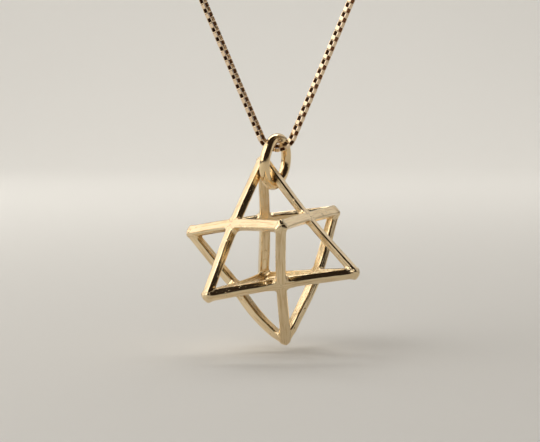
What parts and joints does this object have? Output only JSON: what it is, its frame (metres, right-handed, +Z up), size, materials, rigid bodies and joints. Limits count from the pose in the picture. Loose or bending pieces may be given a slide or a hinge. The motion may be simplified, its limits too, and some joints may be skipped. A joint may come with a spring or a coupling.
{
  "type": "star of david pendant",
  "caption": "Open star of David pendant, a star tetrahedron of flat gold bars hung by a round bail ring on a closed loop of fine box chain with a barrel clasp.",
  "frame": {"origin": "the point under the middle of the clasp, at the top of the loop, where the necklace rests on the back of the neck", "axes": "+X to the viewer's right, +Y away from the viewer and towards the wearer, +Z up"},
  "size_m": [0.1076, 0.0209, 0.205],
  "materials": {
    "star_gold": "polished yellow gold",
    "ring_gold": "polished yellow gold",
    "chain_gold": "polished yellow gold, slightly pinker",
    "clasp_gold": "polished yellow gold"
  },
  "bodies": {
    "necklace": {"chain": "chain_gold", "clasp": "clasp_gold"},
    "bail": {"bail_ring": "ring_gold"},
    "star": {"star_frame": "star_gold"}
  },
  "joints": [
    {"name": "bail_swing", "type": "hinge", "parent": "necklace", "child": "bail", "pos_m": [0, 0, -0.17984], "axis": [1, 0, 0], "range_deg": [-45, 45]},
    {"name": "star_swing", "type": "hinge", "parent": "bail", "child": "star", "pos_m": [-0.00048, 0, -0.18403], "axis": [0.4511, 0.891, -0.0514], "range_deg": [-75, 30]}
  ]
}
